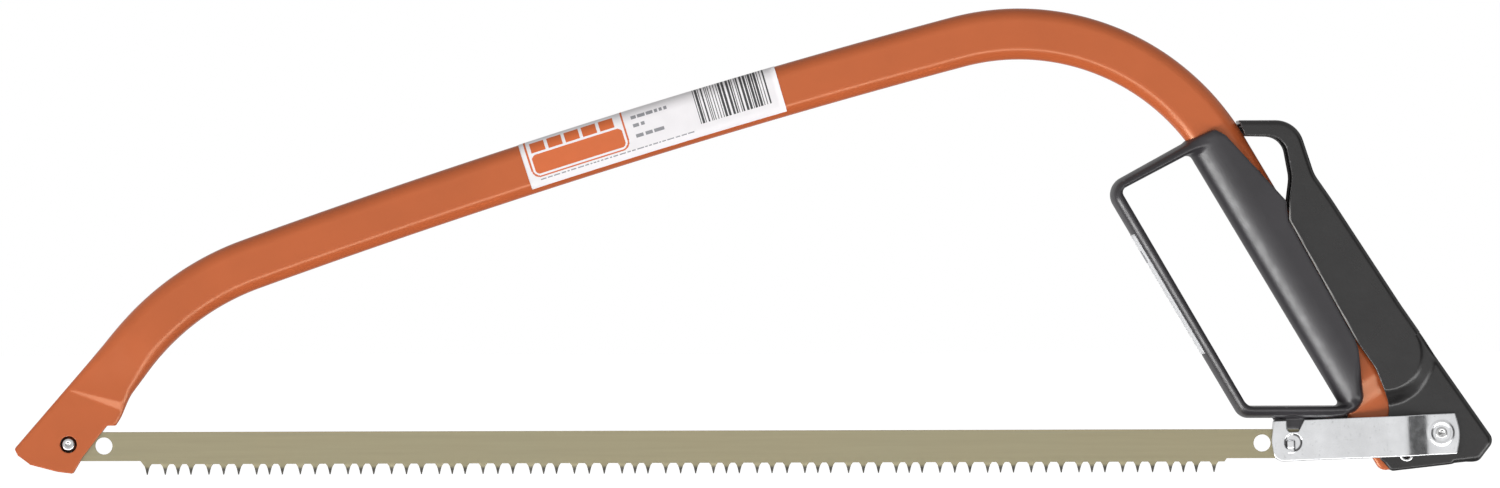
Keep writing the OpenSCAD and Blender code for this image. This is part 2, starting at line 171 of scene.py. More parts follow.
def new_object(name, points, faces, smooth_shading=True):
    mesh = bpy.data.meshes.new(name)
    mesh.from_pydata([tuple(p) for p in points], [], [tuple(int(i) for i in f) for f in faces])
    mesh.validate()
    mesh.polygons.foreach_set("use_smooth", [smooth_shading] * len(mesh.polygons))
    obj = bpy.data.objects.new(name, mesh)
    bpy.context.scene.collection.objects.link(obj)
    return obj


def quads_to_object(name, points, quads):
    """Like new_object, but quick for a big array of quads."""
    mesh = bpy.data.meshes.new(name)
    mesh.vertices.add(len(points))
    mesh.vertices.foreach_set("co", np.asarray(points, np.float32).ravel())
    mesh.loops.add(4 * len(quads))
    mesh.loops.foreach_set("vertex_index", np.asarray(quads, np.int32).ravel())
    mesh.polygons.add(len(quads))
    mesh.polygons.foreach_set("loop_start", np.arange(0, 4 * len(quads), 4, dtype=np.int32))
    mesh.update(calc_edges=True)
    mesh.validate()
    mesh.polygons.foreach_set("use_smooth", np.ones(len(mesh.polygons), bool))
    obj = bpy.data.objects.new(name, mesh)
    bpy.context.scene.collection.objects.link(obj)
    return obj


def gradient(field, points, step=0.02):
    slopes = []
    for axis in range(3):
        ahead, behind = points.copy(), points.copy()
        ahead[:, axis] += step
        behind[:, axis] -= step
        slopes.append((field(*ahead.T) - field(*behind.T)) / (2 * step))
    return np.stack(slopes, -1)


def surface_net(field, xs, ys, zs):
    """Points and quads of the surface where field is zero, on a grid with these coordinates."""
    axes = [np.asarray(a, float) for a in (xs, ys, zs)]
    values = field(axes[0][:, None, None], axes[1][None, :, None], axes[2][None, None, :])
    values = np.broadcast_to(values, [len(a) for a in axes])
    inside = values < 0
    corner_sum = np.zeros([len(a) - 1 for a in axes], np.int8)
    for i in (0, 1):
        for j in (0, 1):
            for k in (0, 1):
                corner_sum += inside[
                    i : inside.shape[0] - 1 + i, j : inside.shape[1] - 1 + j, k : inside.shape[2] - 1 + k
                ]
    cells = np.argwhere((corner_sum > 0) & (corner_sum < 8))
    number = np.full(corner_sum.shape, -1, np.int64)
    number[tuple(cells.T)] = np.arange(len(cells))

    total = np.zeros((len(cells), 3))
    hits = np.zeros(len(cells))
    for axis in range(3):
        others = [a for a in range(3) if a != axis]
        for p in (0, 1):
            for q in (0, 1):
                start = cells.copy()
                start[:, others[0]] += p
                start[:, others[1]] += q
                end = start.copy()
                end[:, axis] += 1
                va, vb = values[tuple(start.T)], values[tuple(end.T)]
                cut = (va < 0) != (vb < 0)
                share = va[cut] / (va[cut] - vb[cut])
                for a in range(3):
                    low, high = axes[a][start[cut, a]], axes[a][end[cut, a]]
                    total[cut, a] += low + share * (high - low)
                hits[cut] += 1
    points = total / hits[:, None]

    quads = []
    for axis in range(3):
        i, j = (axis + 1) % 3, (axis + 2) % 3
        low = [slice(None)] * 3
        high = [slice(None)] * 3
        low[axis], high[axis] = slice(None, -1), slice(1, None)
        for side in (i, j):
            low[side] = high[side] = slice(1, -1)
        rising = inside[tuple(low)] & ~inside[tuple(high)]
        falling = ~inside[tuple(low)] & inside[tuple(high)]
        for mask, order in ((rising, (0, 1, 2, 3)), (falling, (3, 2, 1, 0))):
            at = np.argwhere(mask)
            at[:, i] += 1
            at[:, j] += 1
            ring = []
            for di, dj in ((-1, -1), (0, -1), (0, 0), (-1, 0)):
                cell = at.copy()
                cell[:, i] += di
                cell[:, j] += dj
                ring.append(number[tuple(cell.T)])
            quads.append(np.stack([ring[n] for n in order], -1))
    quads = np.concatenate(quads)

    reach = 0.6 * min(float(np.diff(a).min()) for a in axes)
    for _ in range(3):
        slope = gradient(field, points)
        size = np.maximum((slope**2).sum(1), 0.2)
        move = -field(*points.T)[:, None] * slope / size[:, None]
        length = np.linalg.norm(move, axis=1, keepdims=True)
        points = points + move * np.minimum(1, reach / np.maximum(length, 1e-9))
    return points, quads


def mark(obj, name, values):
    """Stores a number from 0 to 1 at each vertex, for the material to read."""
    attribute = obj.data.attributes.new(name, "FLOAT", "POINT")
    attribute.data.foreach_set("value", np.asarray(values, np.float32))


def from_axis(obj, centre):
    """How far each vertex is from an axis along Y."""
    co = np.array([v.co for v in obj.data.vertices])
    x, z = (co[:, 0] - NOSE[0]) / MM, (co[:, 2] - NOSE[2]) / MM
    return np.hypot(x - centre[0], z - centre[1])


def steps(low, high, size):
    return np.linspace(low, high, max(2, round((high - low) / size) + 1))


def lathe(name, centre, profile, segments=72):
    """A turned piece about an axis along Y through centre, from points (radius, y)."""
    points, faces = [], []
    for r, y in profile:
        for k in range(segments):
            turn = 2 * math.pi * k / segments
            points.append((centre[0] + r * math.cos(turn), y, centre[1] + r * math.sin(turn)))
    for ring in range(len(profile) - 1):
        for k in range(segments):
            a, b = ring * segments + k, ring * segments + (k + 1) % segments
            faces.append((a, b, b + segments, a + segments))
    faces.append(range(segments - 1, -1, -1))
    faces.append(range((len(profile) - 1) * segments, len(profile) * segments))
    x, y, z = np.array(points).T
    return new_object(name, place(x, y, z), faces)


# ------------------------------------------------------------ the tube's centre line

NOSE_START = np.array([22.7, 34.1])
HANDLE_ANGLE = -59.2
# Each stretch of the centre line: heading at its start, heading at its end, radius or straight length
STRETCHES = [
    (53.35, 53.35, 5.6),
    (53.35, 19.8, 114.5),
    (19.8, 14.8, 3687),
    (14.8, HANDLE_ANGLE, 102.7),
    (HANDLE_ANGLE, HANDLE_ANGLE, 154.7),
]


def stretch_length(stretch):
    first, last, size = stretch
    return size if first == last else size * math.radians(first - last)


STARTS = np.concatenate([[0], np.cumsum([stretch_length(s) for s in STRETCHES])])
AT_BOW = STARTS[2]
AT_HANDLE = STARTS[4]
AT_PIVOT = STARTS[5]


def along_tube(s):
    """Place and heading of the tube's centre line at distance s from the end of the nose."""
    s = np.asarray(s, float)
    x, z, angle = np.zeros(s.shape), np.zeros(s.shape), np.zeros(s.shape)
    corner = NOSE_START.copy()
    for i, (first, last, size) in enumerate(STRETCHES):
        here = s >= (STARTS[i] if i else -1e9)
        into = s - STARTS[i]
        t = heading(first)
        if first == last:
            ahead, turned = into, np.full(s.shape, first)
            x = np.where(here, corner[0] + ahead * t[0], x)
            z = np.where(here, corner[1] + ahead * t[1], z)
            corner = corner + size * t
        else:
            turned = first - np.degrees(into / size)
            centre = corner + size * np.array([t[1], -t[0]])
            x = np.where(here, centre[0] - size * np.sin(np.radians(turned)), x)
            z = np.where(here, centre[1] + size * np.cos(np.radians(turned)), z)
            corner = centre + size * np.array([-heading(last)[1], heading(last)[0]])
        angle = np.where(here, turned, angle)
    return x, z, angle


def beside_tube(s, a):
    """X and Z at distance s along the tube and a to the left of its centre line."""
    x, z, angle = along_tube(s)
    turn = np.radians(angle)
    return x - a * np.sin(turn), z + a * np.cos(turn)


# The handle's own axes: u up the handle from the lever's pivot, v towards the lever
DOWN = heading(HANDLE_ANGLE)
OUT = np.array([-DOWN[1], DOWN[0]])


def handle_to_saw(u, v):
    return PIVOT[0] - u * DOWN[0] + v * OUT[0], PIVOT[1] - u * DOWN[1] + v * OUT[1]


def tube_at_handle(u, v):
    """Distance along the tube and to its left, for a place in the handle's axes."""
    up = u - (AT_PIVOT - AT_HANDLE)
    bend_r = STRETCHES[3][2]
    angle = np.arctan2(np.maximum(up, 0), v + bend_r)
    s = np.where(up > 0, AT_HANDLE - bend_r * angle, AT_PIVOT - u)
    a = np.where(up > 0, np.hypot(up, v + bend_r) - bend_r, v)
    return s, a


# ------------------------------------------------------------ frame tube

CREASE_AT = -19.1
CREASE_SLANT = -0.284
RAMP_LENGTH = 2.9
RAMP_WIDENS = -0.13
RAMP_SLOPE = 0.22
BULGE_LENGTH = 40
NOSE_TAPER = 0.074
NOSE_TAPER_END = 6
NOSE_TAPER_SOFT = 8
NOSE_WIDENS = 2.7
NOSE_WIDE_TO = -22
NOSE_WIDE_FADE = 16
PIN_HOLE = 3.64
BUSH_HOLE = 3.27
TAIL_FLAT = 25.7
TAIL_FLARE = 14
NOSE_CUT = rounded(
    [
        (-23.6, -1.7, 1.2),
        (-20.4, -7.8, 2.5),
        (-4.8, -11.9, 20),
        (1.8, -12.7, 0.8),
        (6, -5.6, 12),
        (16.6, 8.1, 1.2),
        (20.5, 8.1, 0.8),
        (24.6, 14.2, 5),
        (31, 26, 0),
        (60, 60, 0),
        (10, 60, 0),
        (-5.5, 26.5, 0),
    ]
)
TAIL_CUT = rounded([(541, 34, 0), (568.9, -12.76, 4), (640, -4.8, 0), (640, 60, 0), (541, 60, 0)])


def tube_shape(s, a):
    """Half thickness, half width and sideways offset of the tube's section."""
    past = s - CREASE_AT - CREASE_SLANT * a
    ramp = np.maximum(RAMP_LENGTH + RAMP_WIDENS * a, 0.8)
    risen = RAMP_SLOPE * sum(np.clip(past + shift, 0, ramp) for shift in (-0.5, -0.2, 0.2, 0.5)) / 4
    left_to_rise = TUBE_HALF_T - NOSE_HALF_T - RAMP_SLOPE * ramp
    nose_t = NOSE_HALF_T + risen + left_to_rise * smooth(past / BULGE_LENGTH)
    closing = smooth((s - AT_PIVOT + TAIL_FLAT + TAIL_FLARE) / TAIL_FLARE)
    half_t = np.minimum(nose_t, TUBE_HALF_T + (TAIL_HALF_T - TUBE_HALF_T) * closing)
    tail = (TAIL_HALF - TUBE_HALF) * closing
    before = NOSE_TAPER_END - s
    left = TUBE_HALF + NOSE_TAPER * (before + np.hypot(before, NOSE_TAPER_SOFT)) / 2 + tail
    right = TUBE_HALF + NOSE_WIDENS * (1 - smooth((s - NOSE_WIDE_TO) / NOSE_WIDE_FADE)) + tail
    return half_t, (left + right) / 2, (left - right) / 2


def tube_field(s, a, y, inset=0):
    half_t, half, centre = tube_shape(s, a)
    half_t = half_t - inset
    flat = np.maximum(np.abs(a - centre) - (half - inset - half_t), 0)
    return np.hypot(flat, y) - half_t


def frame_field(s, a, y):
    x, z = beside_tube(s, a)
    nose = np.where(s < 15, outline_field(NOSE_CUT, x, z), NO_CUT)
    tail_end = np.where(s > AT_PIVOT, np.hypot(s - AT_PIVOT, a) - TAIL_HALF, NO_CUT)
    tail_front = np.where(s > AT_PIVOT - 30, outline_field(TAIL_CUT, x, z), NO_CUT)
    ends = np.maximum(nose, np.maximum(tail_end, tail_front))
    body = carve(tube_field(s, a, y), ends, 0.3)
    hollow = tube_field(s, a, y, TUBE_WALL)
    pin_hole = PIN_HOLE - np.hypot(x, z)
    bush_hole = BUSH_HOLE - np.hypot(x - PIVOT[0], z - PIVOT[1])
    return np.maximum(body, np.maximum(-hollow, np.maximum(pin_hole, bush_hole)))


def frame_tube():
    s = np.concatenate(
        [
            steps(-58, 10, 0.4),
            steps(12, AT_PIVOT - 44, 2.5),
            steps(AT_PIVOT - 43.2, AT_PIVOT + 16, 0.4),
        ]
    )
    points, quads = surface_net(frame_field, s, steps(-16.6, 16.6, 0.42), steps(-6.2, 6.2, 0.345))
    x, z = beside_tube(points[:, 0], points[:, 1])
    return quads_to_object("frame_tube_skin", place(x, points[:, 2], z), quads[:, ::-1])


# ------------------------------------------------------------ grip and knuckle guard

GRIP = rounded(
    [
        (484.7, 130, 1),
        (496.6, 135.4, 2.5),
        (501.5, 132.6, 3),
        (527.6, 104.2, 2),
        (528.2, 96, 3),
        (558.2, 41.8, 14),
        (561.6, 18.4, 7),
        (558.2, 11.4, 5),
        (547, 10.1, 0),
        (540, 20, 0),
        (480, 121, 0),
    ]
)
GUARD_TOP = (448.9, 110.2)
GUARD_BOTTOM = (508, 10.1)
GUARD_OUTER = rounded(
    [
        (*GUARD_TOP, 8.3),
        (484.7, 130, 0),
        (500, 134, 0),
        (558.5, 21, 0),
        (556.5, 10.9, 6),
        (546, 10.1, 0),
        (*GUARD_BOTTOM, 6.5),
    ]
)
GUARD_INNER = rounded(
    [(456.2, 109.1, 2.5), (503, 133.6, 0), (568, 15.3, 0), (510.9, 15.3, 5)]
)
TONGUE = rounded(
    [(522.1, 11, 0), (524.3, 5.4, 1), (537.3, 5.4, 1), (539.2, 9.3, 1), (558.5, 10.2, 0), (557.5, 12, 0)]
)
RIBS = [56, 84, 112, 138]
RIB_HALF_T = 1
GRIP_MIDDLE = 0.6
HOLLOW = (48, 150)
SEAM = (52, 118)
SEAM_CLOSE = 0.15
TUBE_GAP = 0.1


def seam(u, v):
    """1 along the line where the grip's back and the lever's front edge meet."""
    return smooth((u - SEAM[0]) / 4) * smooth((SEAM[1] - u) / 4) * (v > 4)


def grip_section(v, y, half, front):
    """Half an ellipse at the front, with straight sides behind its middle."""
    ahead = np.maximum(GRIP_MIDDLE - v, 0) * half / (front + GRIP_MIDDLE)
    return np.hypot(ahead, y) - half


def grip_field(u, v, y):
    x, z = handle_to_saw(u, v)
    ends = outline_field(GRIP, x, z)
    section = grip_section(v, y, GRIP_HALF, GRIP_FRONT)
    # Crisp along the back, softer in front and softest round the bottom
    rounding = 0.5 + 2.5 * smooth((5 - v) / 7) + 3 * smooth((48 - u) / 14)
    grip = carve(section, ends - SEAM_CLOSE * seam(u, v), rounding)
    dome = GUARD_DOME * (y / GUARD_HALF) ** 2
    ring = carve(outline_field(GUARD_OUTER, x, z) + dome, -outline_field(GUARD_INNER, x, z), 1.8)
    ring = carve(ring, np.abs(y) - GUARD_HALF, 2.4)
    solid = join(grip, ring, 2.5)
    hollow_ends = np.maximum(HOLLOW[0] - u, u - HOLLOW[1])
    hollow = grip_section(v, y, GRIP_HALF - GRIP_WALL, GRIP_FRONT - GRIP_WALL)
    solid = np.maximum(solid, -np.maximum(hollow, hollow_ends))
    beside_rib = np.min([np.abs(u - at) for at in RIBS], axis=0) - RIB_HALF_T
    rib_back = np.maximum(np.maximum(np.abs(y) - 7.5, v - 8.5), -v - 12)
    ribs = np.maximum(np.maximum(beside_rib, section + 1), np.minimum(ends, rib_back))
    solid = np.minimum(solid, ribs)
    solid = join(solid, carve(outline_field(TONGUE, x, z), np.abs(y) - 1, 0.3), 0.5)
    s, a = tube_at_handle(u, v)
    tube = np.maximum(tube_field(s, a, y), np.where(u < 60, outline_field(TAIL_CUT, x, z), NO_CUT))
    return carve(solid, TUBE_GAP - tube, 0.25)


def grip_guard():
    across, through = steps(-57, 15, 0.55), steps(-11.6, 11.6, 0.527)
    points, quads = surface_net(grip_field, steps(20, 169, 0.55), across, through)
    x, z = handle_to_saw(points[:, 0], points[:, 1])
    return quads_to_object("grip_guard_moulding", place(x, points[:, 2], z), quads)


# ------------------------------------------------------------ tension lever

LEVER_BACK = rounded(
    [
        (430, 139.2, 0),
        (532.3, 139.2, 12.5),
        (540, 115.8, 14),
        (547.3, 105.3, 14),
        (577.5, 58.9, 150),
        (587.6, 44.4, 0),
        (597.2, 30.6, 0),
        (618.4, 0.2, 4.5),
        (611.6, -8.8, 4),
        (601, -9.98, 0),
        (598, -60, 0),
        (430, -60, 0),
    ]
)
LEVER_FRONT = rounded(
    [
        (606, -9.43, 0),
        (573.4, -13.1, 2),
        (567.6, -6.6, 5),
        (573, 14.5, 12),
        (566, 32, 12),
        (558.9, 42, 12),
        (528.9, 96.2, 3),
        (528.9, 102.6, 3),
        (530.4, 114.5, 14),
        (527.1, 132.2, 8.5),
        (509.9, 132.6, 0.4),
        (507.3, 139.2, 0.8),
        (500, 180, 0),
        (700, 180, 0),
        (700, -30, 0),
    ]
)
JOGGLE = (42.9, 14)
JOGGLE_R = 23.5
JOGGLE_WIDTH = 8.5
PIVOT_HOLE = 2.02
LEVER_LINK_HOLE = 1.95
# Width of the painted highlight along the lever's front edge
EDGE_HIGHLIGHT_WIDTH = 0.55


def lever_field(u, v, y):
    x, z = handle_to_saw(u, v)
    back = outline_field(LEVER_BACK, x, z)
    front = outline_field(LEVER_FRONT, x, z) - SEAM_CLOSE * seam(u, v)
    reach = np.where(u > JOGGLE[0], np.abs(v - JOGGLE[1]), np.hypot(u - JOGGLE[0], v - JOGGLE[1]))
    wide = smooth((JOGGLE_R - reach) / JOGGLE_WIDTH)
    wide = np.where(u > JOGGLE[0], 1, wide)
    half = LEVER_LOW_HALF + (LEVER_HALF - LEVER_LOW_HALF) * wide
    side = np.abs(y) - half
    outer = carve(back, side, 2.6)
    inner = carve(back + SHEET, side + SHEET, 1.2)
    shell = carve(np.maximum(outer, -inner), front, 0.35 + 0.9 * smooth((-7.5 - z) / 2))
    pivot_hole = PIVOT_HOLE - np.hypot(x - PIVOT[0], z - PIVOT[1])
    link_hole = LEVER_LINK_HOLE - np.hypot(x - LINK[0], z - LINK[1])
    return np.maximum(shell, np.maximum(pivot_hole, link_hole))


def tension_lever():
    across, through = steps(-11, 39, 0.45), steps(-9.9, 9.9, 0.44)
    points, quads = surface_net(lever_field, steps(-21, 165, 0.45), across, through)
    x, z = handle_to_saw(points[:, 0], points[:, 1])
    obj = quads_to_object("tension_lever_pressing", place(x, points[:, 2], z), quads)
    up = points[:, 0]
    # Painted highlight: a light line along the front edge, where it meets the grip
    at_edge = smooth((EDGE_HIGHLIGHT_WIDTH + outline_field(LEVER_FRONT, x, z)) / 0.3)
    mark(obj, "painted_edge_highlight", at_edge * smooth((up - 50) / 8) * smooth((122 - up) / 8))
    return obj


# ------------------------------------------------------------ straps

STRAP_TILT = 2.4
STRAP_MID = 1.5
STRAP_HALF = 8.9
STRAP_HOOK_IN = 1.3
STRAP_OUT_IN = 7.3
STRAP_PAD_IN = LEVER_LOW_HALF + 0.1
STRAP_ENDS = (-7.8, 72.6)
STRAP_SOFTNESS = 2.4
# How far the strap's inner face is from the saw's middle, at these places along the strap
STRAP_BENDS = [
    (-20, STRAP_HOOK_IN),
    (12.4, STRAP_HOOK_IN),
    (44, STRAP_OUT_IN),
    (50.8, STRAP_OUT_IN),
    (58.4, STRAP_PAD_IN),
    (90, STRAP_PAD_IN),
]
STRAP_LEAN = 0.97
LINK_HOLE = 1.92
# Radius, width and height of the raised ring pressed round the rivet
RIVET_RING = (4.7, 0.8, 0.3)
WINDOW = (1.1, 0.6)
WINDOW_R = 3.8
TAB_HALF = 1.45
TAB_REACH = 1.5
TAB_INNER = 0.05
WEB = 0.3
TAB_GAP = 0.7


def in_strap(place_in_saw):
    """A place in the saw's plane in the strap's own axes, with the hook at the origin."""
    across, up = np.array(place_in_saw) - HOOK
    t = heading(STRAP_TILT)
    return np.array([across * t[0] + up * t[1], up * t[0] - across * t[1]])


LINK_IN_STRAP = in_strap(LINK)
STRAP_OUTLINE = rounded(
    [
        (STRAP_ENDS[0] + 0.9, STRAP_MID + STRAP_HALF, 0.8),
        (STRAP_ENDS[0] - 0.5, STRAP_MID + 0.5, 12),
        (STRAP_ENDS[0] + 0.6, STRAP_MID - STRAP_HALF, 4.5),
        (STRAP_ENDS[1] - 1.2, STRAP_MID - STRAP_HALF, 0.8),
        (STRAP_ENDS[1] + 1, STRAP_MID, 20),
        (STRAP_ENDS[1] - 1.2, STRAP_MID + STRAP_HALF, 0.8),
    ]
)
NOTCH = rounded(
    [(-1.3, 20, 0), (-1.3, 6.6, 0.5), (-0.4, 5.3, 0.5), (3.6, 5.3, 0.8), (6.9, 11.4, 0), (6.9, 20, 0)]
)


def strap_field(x, z, y):
    inner = np.zeros(np.shape(x))
    for shift in np.linspace(-STRAP_SOFTNESS, STRAP_SOFTNESS, 7):
        inner = inner + np.interp(x + shift, *np.array(STRAP_BENDS).T) / 7
    from_rivet = np.hypot(x - LINK_IN_STRAP[0], z - LINK_IN_STRAP[1])
    ring_r, ring_width, ring_lift = RIVET_RING
    lift = ring_lift * np.exp(-(((from_rivet - ring_r) / ring_width) ** 2))
    sheet = np.abs(y - inner - lift - SHEET / 2) * STRAP_LEAN - SHEET / 2
    window = np.maximum(np.hypot(x - WINDOW[0], z - WINDOW[1]) - WINDOW_R, STRAP_HOOK_IN + WEB - y)
    edge = np.maximum(outline_field(STRAP_OUTLINE, x, z), -outline_field(NOTCH, x, z))
    body = carve(carve(sheet, edge, 0.4), -window, 0.12)
    outer = STRAP_HOOK_IN + SHEET
    tab_side = np.abs(x) - TAB_HALF
    in_sheet = np.abs(y - (STRAP_HOOK_IN + outer) / 2) - SHEET / 2
    stem = carve(carve(tab_side, np.abs(z + 1.1) - 2.6, 0.3), in_sheet, 0.3)
    to_middle = np.abs(y - (TAB_INNER + outer) / 2) - (outer - TAB_INNER) / 2
    bent = carve(carve(tab_side, np.abs(z) - TAB_REACH, 0.3), to_middle, 0.3)
    solid = join(body, join(stem, bent, 0.4), 0.4)
    return np.maximum(solid, LINK_HOLE - from_rivet)


def strap(name, side):
    across, through = steps(-8.2, 11.2, 0.3), steps(-0.2, 9.6, 0.28)
    points, quads = surface_net(strap_field, steps(-9.5, 74.5, 0.3), across, through)
    t = heading(STRAP_TILT)
    x = HOOK[0] + points[:, 0] * t[0] - points[:, 1] * t[1]
    z = HOOK[1] + points[:, 0] * t[1] + points[:, 1] * t[0]
    if side > 0:
        quads = quads[:, ::-1]
    obj = quads_to_object(name, place(x, side * points[:, 2], z), quads[:, ::-1])
    # Painted shade in the window's gaps: along its rim and on both sides of the hook
    local_x, local_z, y = points.T
    to_edge = WINDOW_R - np.hypot(local_x - WINDOW[0], local_z - WINDOW[1])
    corner = smooth((0.05 + to_edge) / 0.15) * smooth((0.95 - to_edge) / 0.5)
    off_tab = np.abs(local_x) - TAB_HALF
    beside_tab = smooth((TAB_GAP - np.abs(off_tab)) / 0.3) * (local_z < TAB_REACH) * (to_edge > 0)
    sunk = smooth((2.7 - y) / 0.3) * (off_tab > -0.1)
    mark(obj, "painted_shade", np.maximum(corner, beside_tab) * sunk)
    return obj


# ------------------------------------------------------------ turned pieces

RIVET_HEAD = 1.1
RIVET_GAP = 0.02


def rolled_end(rim, dimple, depth, shank, base, top):
    """Half a rivet's profile, from its punched centre out over a rolled rim and in to its shank."""
    crown = (rim - dimple) / 2
    middle = dimple + crown
    points = [(0.05, top - depth), (dimple * 0.75, top - depth), (dimple, top - depth * 0.55)]
    for k in range(1, 8):
        turn = math.pi * k / 8
        points.append((middle - crown * math.cos(turn), top - 0.35 + 0.35 * math.sin(turn)))
    points += [(rim, top - 0.55), (rim, base + 0.02), (rim - 0.12, base), (shank, base)]
    return points


def rivet(name, centre, base, head, rim, dimple, depth, shank):
    """A rivet with a rolled head of this height on both sides, from base outwards."""
    far = rolled_end(rim, dimple, depth, shank, base, base + head)
    near = [(r, -y) for r, y in reversed(far)]
    return lathe(name, centre, far + near)


def nose_pin():
    """The pin through the nose, sunk in the plates, with painted shade in the gap round its rim."""
    rim = 2.6
    base = NOSE_HALF_T - 1
    pin = rivet("nose_pin_turned", np.zeros(2), base, 1.5, rim=rim, dimple=0.9, depth=0.5, shank=3.6)
    # Painted shade on the sunk ring outside the rim
    mark(pin, "painted_shade", from_axis(pin, np.zeros(2)) > rim - 0.05)
    return pin


# ------------------------------------------------------------ blade

BLADE_FRONT = -7
BLADE_REAR = 546
BLADE_TOP = 5.3
BLADE_PLAIN = -7.3
BLADE_CHAMFER = 2
GULLET = -8.7
TIP = -13.3
HOLE_R = 3.7
TEETH = 71
FIRST_TOOTH = 34
PATTERN = 39.66
TOOTH_STEPS = [0, 7.75, 13.35, 18.95, 26.7, 33.15]
# Half widths of a tooth and how far down it they are, as shares of its height
TOOTH = [(1.9, 0), (1.15, 0.22), (0.72, 0.5), (0.2, 1)]
BLADE_EDGE = 0.06
TOOTH_SET = 0.3
TOOTH_THINS = 0.35
SLOT_GAP = 0.15
SLOT_CORNER = 0.4


def tooth_at(i):
    return FIRST_TOOTH + PATTERN * (i // 6) + TOOTH_STEPS[i % 6]


def turned(p, centre, degrees):
    """p turned clockwise about centre, seen from the front."""
    c, s = math.cos(math.radians(degrees)), math.sin(math.radians(degrees))
    d = np.array(p) - centre
    return centre + np.array([d[0] * c + d[1] * s, d[1] * c - d[0] * s])


def hook_slot():
    """The slot that holds the strap's hook at every position of the lever."""
    ratios = {row["name"]: row for row in frame["record"]["behaviour"]["joints"]}
    lever_max = ratios["lever_swing"]["range_deg"][1]
    link_turn = ratios["link_pivot"]["range_deg"][0] / lever_max
    blade_turn = ratios["blade_swing"]["range_deg"][1] / lever_max
    t = heading(STRAP_TILT)
    places = []
    for lever in np.linspace(0, lever_max, 19):
        for across in (-TAB_HALF, TAB_HALF):
            for up in (-TAB_REACH, TAB_REACH):
                p = HOOK + (across * t[0] - up * t[1], across * t[1] + up * t[0])
                p = turned(p, LINK, link_turn * lever)
                p = turned(p, PIVOT, lever)
                places.append(turned(p, np.zeros(2), -blade_turn * lever))
    (left, bottom), (right, top) = np.min(places, axis=0) - SLOT_GAP, np.max(places, axis=0) + SLOT_GAP
    corners = [(left, bottom), (right, bottom), (right, top), (left, top)]
    return rounded([(x, z, SLOT_CORNER) for x, z in corners])


def circle(x, z, r, count=48):
    turns = [2 * math.pi * k / count for k in range(count)]
    return [(x + r * math.cos(turn), z + r * math.sin(turn)) for turn in turns]


def blade_outline():
    chamfer = BLADE_PLAIN + BLADE_CHAMFER
    points = [(BLADE_FRONT, BLADE_TOP), (BLADE_FRONT, chamfer), (BLADE_FRONT + BLADE_CHAMFER, BLADE_PLAIN)]
    points.append((FIRST_TOOTH - 3, BLADE_PLAIN))
    for i in range(TEETH):
        x = tooth_at(i)
        for side, sizes in ((-1, TOOTH), (1, TOOTH[::-1])):
            points += [(x + side * half, GULLET + share * (TIP - GULLET)) for half, share in sizes]
    last = tooth_at(TEETH - 1)
    points += [(last + 4.5, GULLET), (last + 5.5, BLADE_PLAIN), (BLADE_REAR - BLADE_CHAMFER, BLADE_PLAIN)]
    return points + [(BLADE_REAR, chamfer), (BLADE_REAR, BLADE_TOP)]


def blade():
    curve = bpy.data.curves.new("blade_outline", "CURVE")
    curve.dimensions = "2D"
    curve.fill_mode = "BOTH"
    curve.extrude = BLADE_HALF_T - BLADE_EDGE
    curve.bevel_depth = BLADE_EDGE
    curve.bevel_resolution = 0
    curve.offset = -BLADE_EDGE
    hole_centres = [np.zeros(2)] + [from_nose(mount["pos_m"]) for mount in frame["record"]["mounts"]]
    holes = [circle(x, z, HOLE_R) for x, z in hole_centres]
    for outline in [blade_outline(), *holes, hook_slot()]:
        spline = curve.splines.new("POLY")
        spline.points.add(len(outline) - 1)
        for point, (x, z) in zip(spline.points, outline):
            point.co = (x, z, 0, 1)
        spline.use_cyclic_u = True
    flat = bpy.data.objects.new("blade_curve", curve)
    bpy.context.scene.collection.objects.link(flat)
    bpy.context.view_layer.update()
    mesh = bpy.data.meshes.new_from_object(flat.evaluated_get(bpy.context.evaluated_depsgraph_get()))
    bpy.data.objects.remove(flat)
    co = np.array([v.co for v in mesh.vertices])
    x, z, y = co[:, 0], co[:, 1], -co[:, 2]
    centres = np.array([tooth_at(i) for i in range(TEETH)])
    nearest = np.argmin(np.abs(x[:, None] - centres), axis=1)
    depth = np.clip((GULLET - z) / (GULLET - TIP), 0, 1)
    lean = np.array([(-1, 1, 0)[i % 3] for i in range(TEETH)])[nearest]
    y = y * (1 - TOOTH_THINS * depth) + TOOTH_SET * lean * depth
    mesh.vertices.foreach_set("co", place(x, y, z).astype(np.float32).ravel())
    mesh.update()
    obj = bpy.data.objects.new("blade_steel_strip", mesh)
    bpy.context.scene.collection.objects.link(obj)
    return obj


# ------------------------------------------------------------ labels

LABEL_START = AT_BOW + 126.4
LABEL_LENGTH = 115.7
LABEL_SHORT = 5.0
LABEL_T = 0.12
LABEL_LIFT = 0.05
# The print on the tube's label: a framed panel under five blocks, three short rows, and bars
PANEL_END = 46.5
BLOCKS = 5
BLOCK_START = 4.6
BLOCK_WIDTH = 6.4
BLOCK_PITCH = 7.8
ROWS = [(6.2, 15), (9.8, 5), (14.4, 13)]
ROW_START = 50.0
BARS = (78.5, 110)
SMALL_ROW = (5.0, 74)
ORANGE_INK, GREY_INK, BLACK_INK = 1, 2, 3
STICKER_START = 24
STICKER_LENGTH = 60


